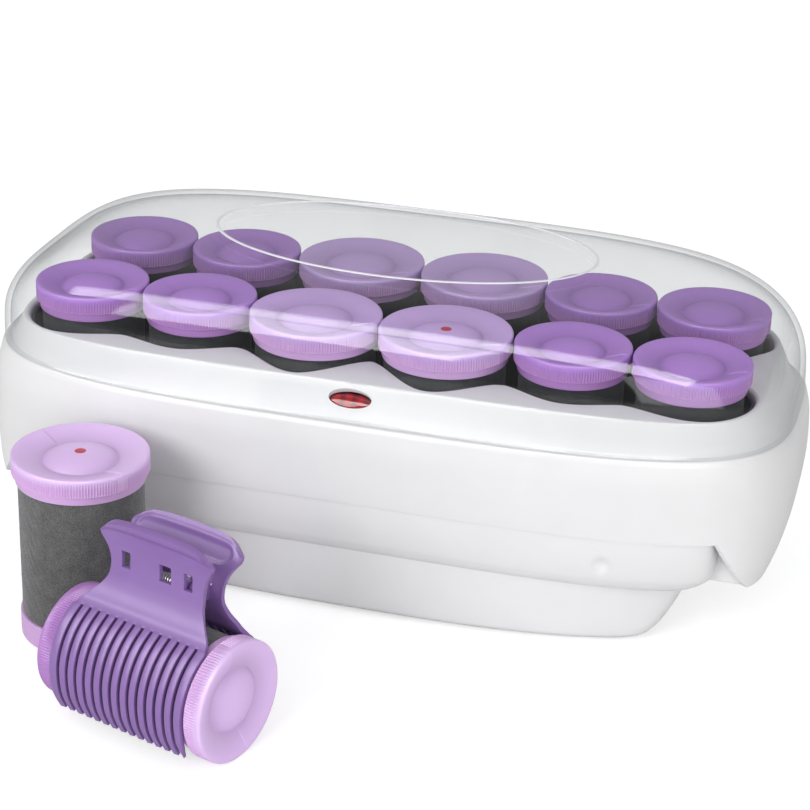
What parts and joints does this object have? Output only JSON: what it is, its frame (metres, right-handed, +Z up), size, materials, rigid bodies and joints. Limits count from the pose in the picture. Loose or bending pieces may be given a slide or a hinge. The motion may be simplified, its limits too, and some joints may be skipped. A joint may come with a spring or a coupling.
{
  "type": "heated hair roller set",
  "caption": "Heated hair roller set: setter base with a clear lift-off lid, flocked rollers on heating posts, a standing roller, and a lying roller held in a claw clip.",
  "frame": {"origin": "on the table, under the middle of the setter base", "axes": "+X along the base's length, -Y towards the front with the indicator, +Z up"},
  "size_m": [0.306, 0.2493, 0.121],
  "materials": {
    "white_shell": "glossy white moulding",
    "foot_rubber": "matte",
    "dark_well": "dark satin",
    "aluminium": "satin",
    "element": "mica strip",
    "steel": "brushed",
    "ceramic": "matte",
    "red_lens": "dark red, polished",
    "lamp_glass": "clear",
    "clear_lid": "clear, polished",
    "flock": "short grey flock",
    "lavender": "satin",
    "purple": "satin",
    "clip_purple": "semi-gloss",
    "ready_red": "satin"
  },
  "bodies": {
    "base": {"upper_housing": "white_shell", "lower_housing": "white_shell", "base_foot": "white_shell", "rubber_feet": "foot_rubber", "well_tray": "dark_well", "heater_plate": "aluminium", "jumbo_heating_posts": "aluminium", "super_heating_posts": "aluminium", "heating_element": "element", "thermostat": "steel", "thermal_fuse": "ceramic", "terminal_block": "ceramic", "indicator_lens": "red_lens", "indicator_lamp": "lamp_glass", "housing_screws": "steel", "cord_gland": "white_shell"},
    "lid": {"lid": "clear_lid"},
    "roller_front_1": {"sleeve_front_1": "flock", "caps_front_1": "purple"},
    "roller_front_2": {"sleeve_front_2": "flock", "caps_front_2": "purple"},
    "roller_front_3": {"sleeve_front_3": "flock", "caps_front_3": "lavender"},
    "roller_front_4": {"sleeve_front_4": "flock", "caps_front_4": "lavender", "ready_dot": "ready_red"},
    "roller_front_5": {"sleeve_front_5": "flock", "caps_front_5": "purple"},
    "roller_front_6": {"sleeve_front_6": "flock", "caps_front_6": "purple"},
    "roller_back_1": {"sleeve_back_1": "flock", "caps_back_1": "purple"},
    "roller_back_2": {"sleeve_back_2": "flock", "caps_back_2": "purple"},
    "roller_back_3": {"sleeve_back_3": "flock", "caps_back_3": "lavender"},
    "roller_back_4": {"sleeve_back_4": "flock", "caps_back_4": "lavender"},
    "roller_back_5": {"sleeve_back_5": "flock", "caps_back_5": "purple"},
    "roller_back_6": {"sleeve_back_6": "flock", "caps_back_6": "purple"},
    "standing_roller": {"standing_sleeve": "flock", "standing_liner": "aluminium", "standing_cap": "lavender", "standing_ring": "lavender", "standing_ready_dot": "ready_red"},
    "clipped_roller": {"clipped_sleeve": "flock", "clipped_liner": "aluminium", "clipped_cap": "lavender", "clipped_ring": "purple"},
    "clip_rear": {"clip_rear_jaw": "clip_purple", "clip_pin": "steel", "clip_spring": "steel"},
    "clip_front": {"clip_front_jaw": "clip_purple"}
  },
  "joints": [
    {"name": "lid_lift", "type": "slide", "parent": "base", "child": "lid", "axis": [0, 0, 1], "range_m": [0, 0.12]},
    {"name": "roller_front_1_lift", "type": "slide", "parent": "base", "child": "roller_front_1", "axis": [0, 0, 1], "range_m": [0, 0.004]},
    {"name": "roller_front_2_lift", "type": "slide", "parent": "base", "child": "roller_front_2", "axis": [0, 0, 1], "range_m": [0, 0.009]},
    {"name": "roller_front_3_lift", "type": "slide", "parent": "base", "child": "roller_front_3", "axis": [0, 0, 1], "range_m": [0, 0.009]},
    {"name": "roller_front_4_lift", "type": "slide", "parent": "base", "child": "roller_front_4", "axis": [0, 0, 1], "range_m": [0, 0.009]},
    {"name": "roller_front_5_lift", "type": "slide", "parent": "base", "child": "roller_front_5", "axis": [0, 0, 1], "range_m": [0, 0.009]},
    {"name": "roller_front_6_lift", "type": "slide", "parent": "base", "child": "roller_front_6", "axis": [0, 0, 1], "range_m": [0, 0.004]},
    {"name": "roller_back_1_lift", "type": "slide", "parent": "base", "child": "roller_back_1", "axis": [0, 0, 1], "range_m": [0, 0.004]},
    {"name": "roller_back_2_lift", "type": "slide", "parent": "base", "child": "roller_back_2", "axis": [0, 0, 1], "range_m": [0, 0.009]},
    {"name": "roller_back_3_lift", "type": "slide", "parent": "base", "child": "roller_back_3", "axis": [0, 0, 1], "range_m": [0, 0.009]},
    {"name": "roller_back_4_lift", "type": "slide", "parent": "base", "child": "roller_back_4", "axis": [0, 0, 1], "range_m": [0, 0.009]},
    {"name": "roller_back_5_lift", "type": "slide", "parent": "base", "child": "roller_back_5", "axis": [0, 0, 1], "range_m": [0, 0.009]},
    {"name": "roller_back_6_lift", "type": "slide", "parent": "base", "child": "roller_back_6", "axis": [0, 0, 1], "range_m": [0, 0.004]},
    {"name": "standing_roller_lift", "type": "slide", "parent": "base", "child": "standing_roller", "axis": [0, 0, 1], "range_m": [0, 0.1]},
    {"name": "clipped_roller_lift", "type": "slide", "parent": "base", "child": "clipped_roller", "axis": [0, 0, 1], "range_m": [0, 0.1]},
    {"name": "clip_rear_squeeze", "type": "hinge", "parent": "clipped_roller", "child": "clip_rear", "pos_m": [-0.03798, -0.14377, 0.05186], "axis": [0.9511, -0.309, 0], "range_deg": [0, 18], "stiffness_Nm_per_rad": 0.2, "springref_deg": -11.46, "deforming": ["clip_spring"]},
    {"name": "clip_front_squeeze", "type": "hinge", "parent": "clipped_roller", "child": "clip_front", "pos_m": [-0.03798, -0.14377, 0.05186], "axis": [0.9511, -0.309, 0], "range_deg": [-18, 0]}
  ],
  "couplings": [
    {"joint": "clip_front_squeeze", "follows": "clip_rear_squeeze", "ratio": -1}
  ]
}
